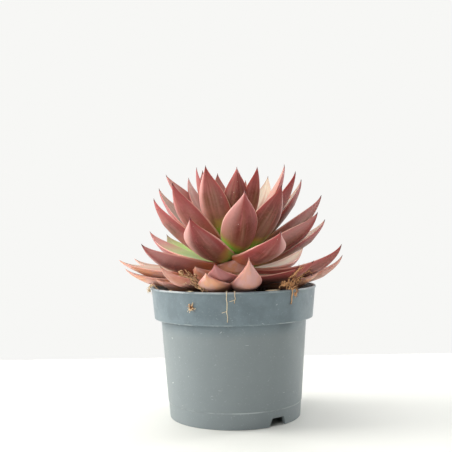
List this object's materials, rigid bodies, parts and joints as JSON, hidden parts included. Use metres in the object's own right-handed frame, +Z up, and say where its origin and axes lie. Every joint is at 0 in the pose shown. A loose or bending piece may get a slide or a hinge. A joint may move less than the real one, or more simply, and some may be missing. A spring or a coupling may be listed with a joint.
{
  "type": "potted echeveria",
  "caption": "Echeveria with a reddish rosette of pointed fleshy leaves, in a grey plastic nursery pot.",
  "frame": {"origin": "on the surface that the pot stands on, under the middle of the bounding box, which is the pot's axis to within 1 mm", "axes": "+Z up along the pot's axis; -Y towards the side that the picture shows; +X to that side's right"},
  "size_m": [0.1655, 0.1461, 0.182],
  "materials": {
    "pot_plastic": "satin grey moulded polypropylene, scuffed",
    "peat": "dark crumbly peat; fabric stands in for its low density",
    "leaf": "waxy satin, brown-red with paler faces and green bases",
    "dry_root": "dull dry fibre",
    "pale_root": "dull off-white root thread"
  },
  "bodies": {
    "root": {"pot": "pot_plastic", "peat": "peat", "rosette": "leaf", "dry_roots_left": "dry_root", "dry_roots_right": "dry_root", "rim_fibres": "dry_root", "root_thread_long": "pale_root", "root_thread_short": "pale_root", "root_thread_right": "pale_root", "husk": "dry_root"}
  },
  "joints": []
}
